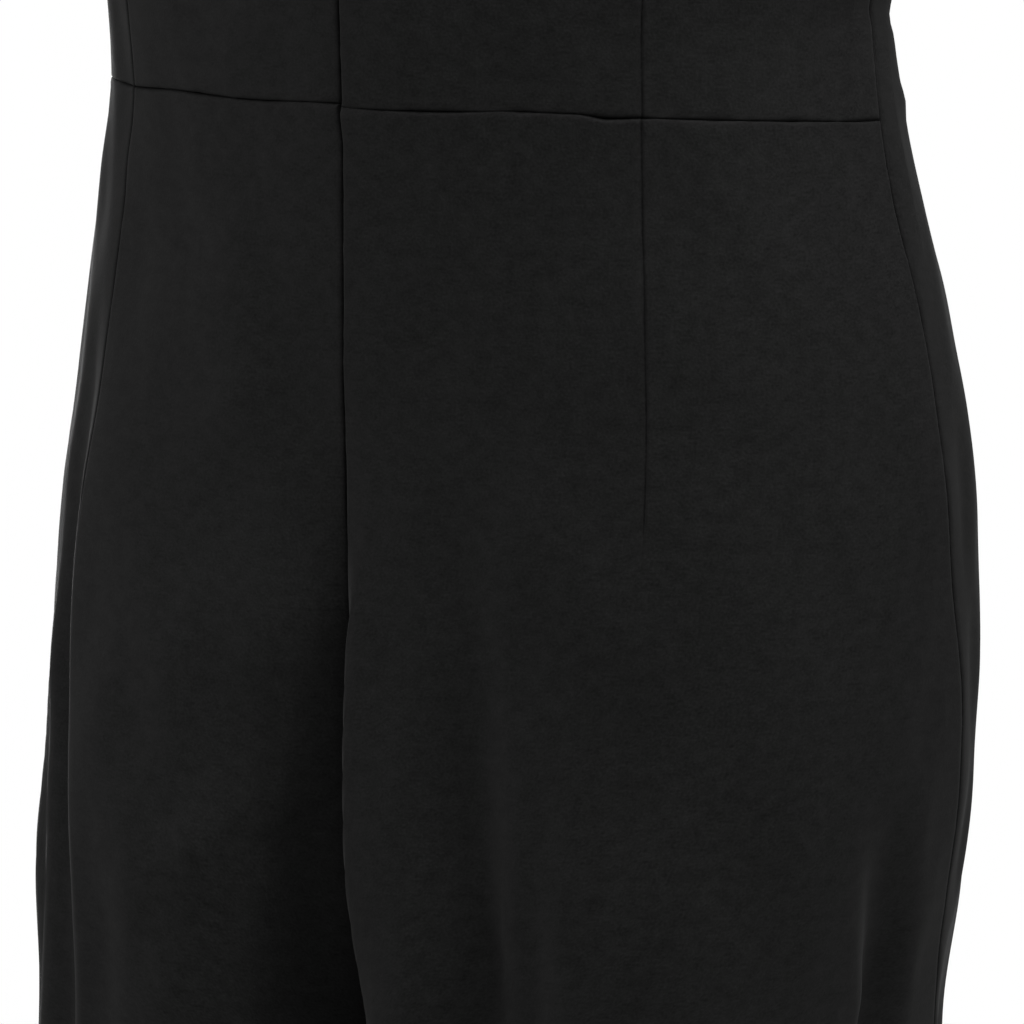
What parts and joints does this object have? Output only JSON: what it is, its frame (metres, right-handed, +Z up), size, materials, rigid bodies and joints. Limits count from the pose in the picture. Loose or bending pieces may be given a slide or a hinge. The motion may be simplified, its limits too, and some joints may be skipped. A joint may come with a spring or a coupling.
{
  "type": "jumpsuit",
  "caption": "Sleeveless full-length jumpsuit in plain woven cloth, in the hollow shape it has when worn, with a concealed back zip.",
  "frame": {"origin": "midway between the shoulder seams, at the height of their neck ends, where the wearer's shoulders hold the garment", "axes": "+Z up along the body, -Y the garment's front, +X the wearer's left"},
  "size_m": [0.3344, 0.2466, 1.485],
  "materials": {
    "black_crepe": "matt fine crepe with a faint sheen",
    "zip_tape": "matt woven tape",
    "zip_metal": "black enamel"
  },
  "bodies": {
    "garment": {"front_upper_left": "black_crepe", "front_lower_left": "black_crepe", "front_upper_right": "black_crepe", "front_lower_right": "black_crepe", "bodice_back_left": "black_crepe", "bodice_back_right": "black_crepe", "trouser_back_left": "black_crepe", "trouser_back_right": "black_crepe", "zip_tape_left": "zip_tape", "zip_tape_right": "zip_tape", "zip_slider": "zip_metal"},
    "pull": {"zip_pull": "zip_metal"}
  },
  "joints": [
    {"name": "pull_swing", "type": "hinge", "parent": "garment", "child": "pull", "pos_m": [0, 0.07731, -0.03923], "axis": [1, 0, 0], "range_deg": [0, 150]}
  ]
}
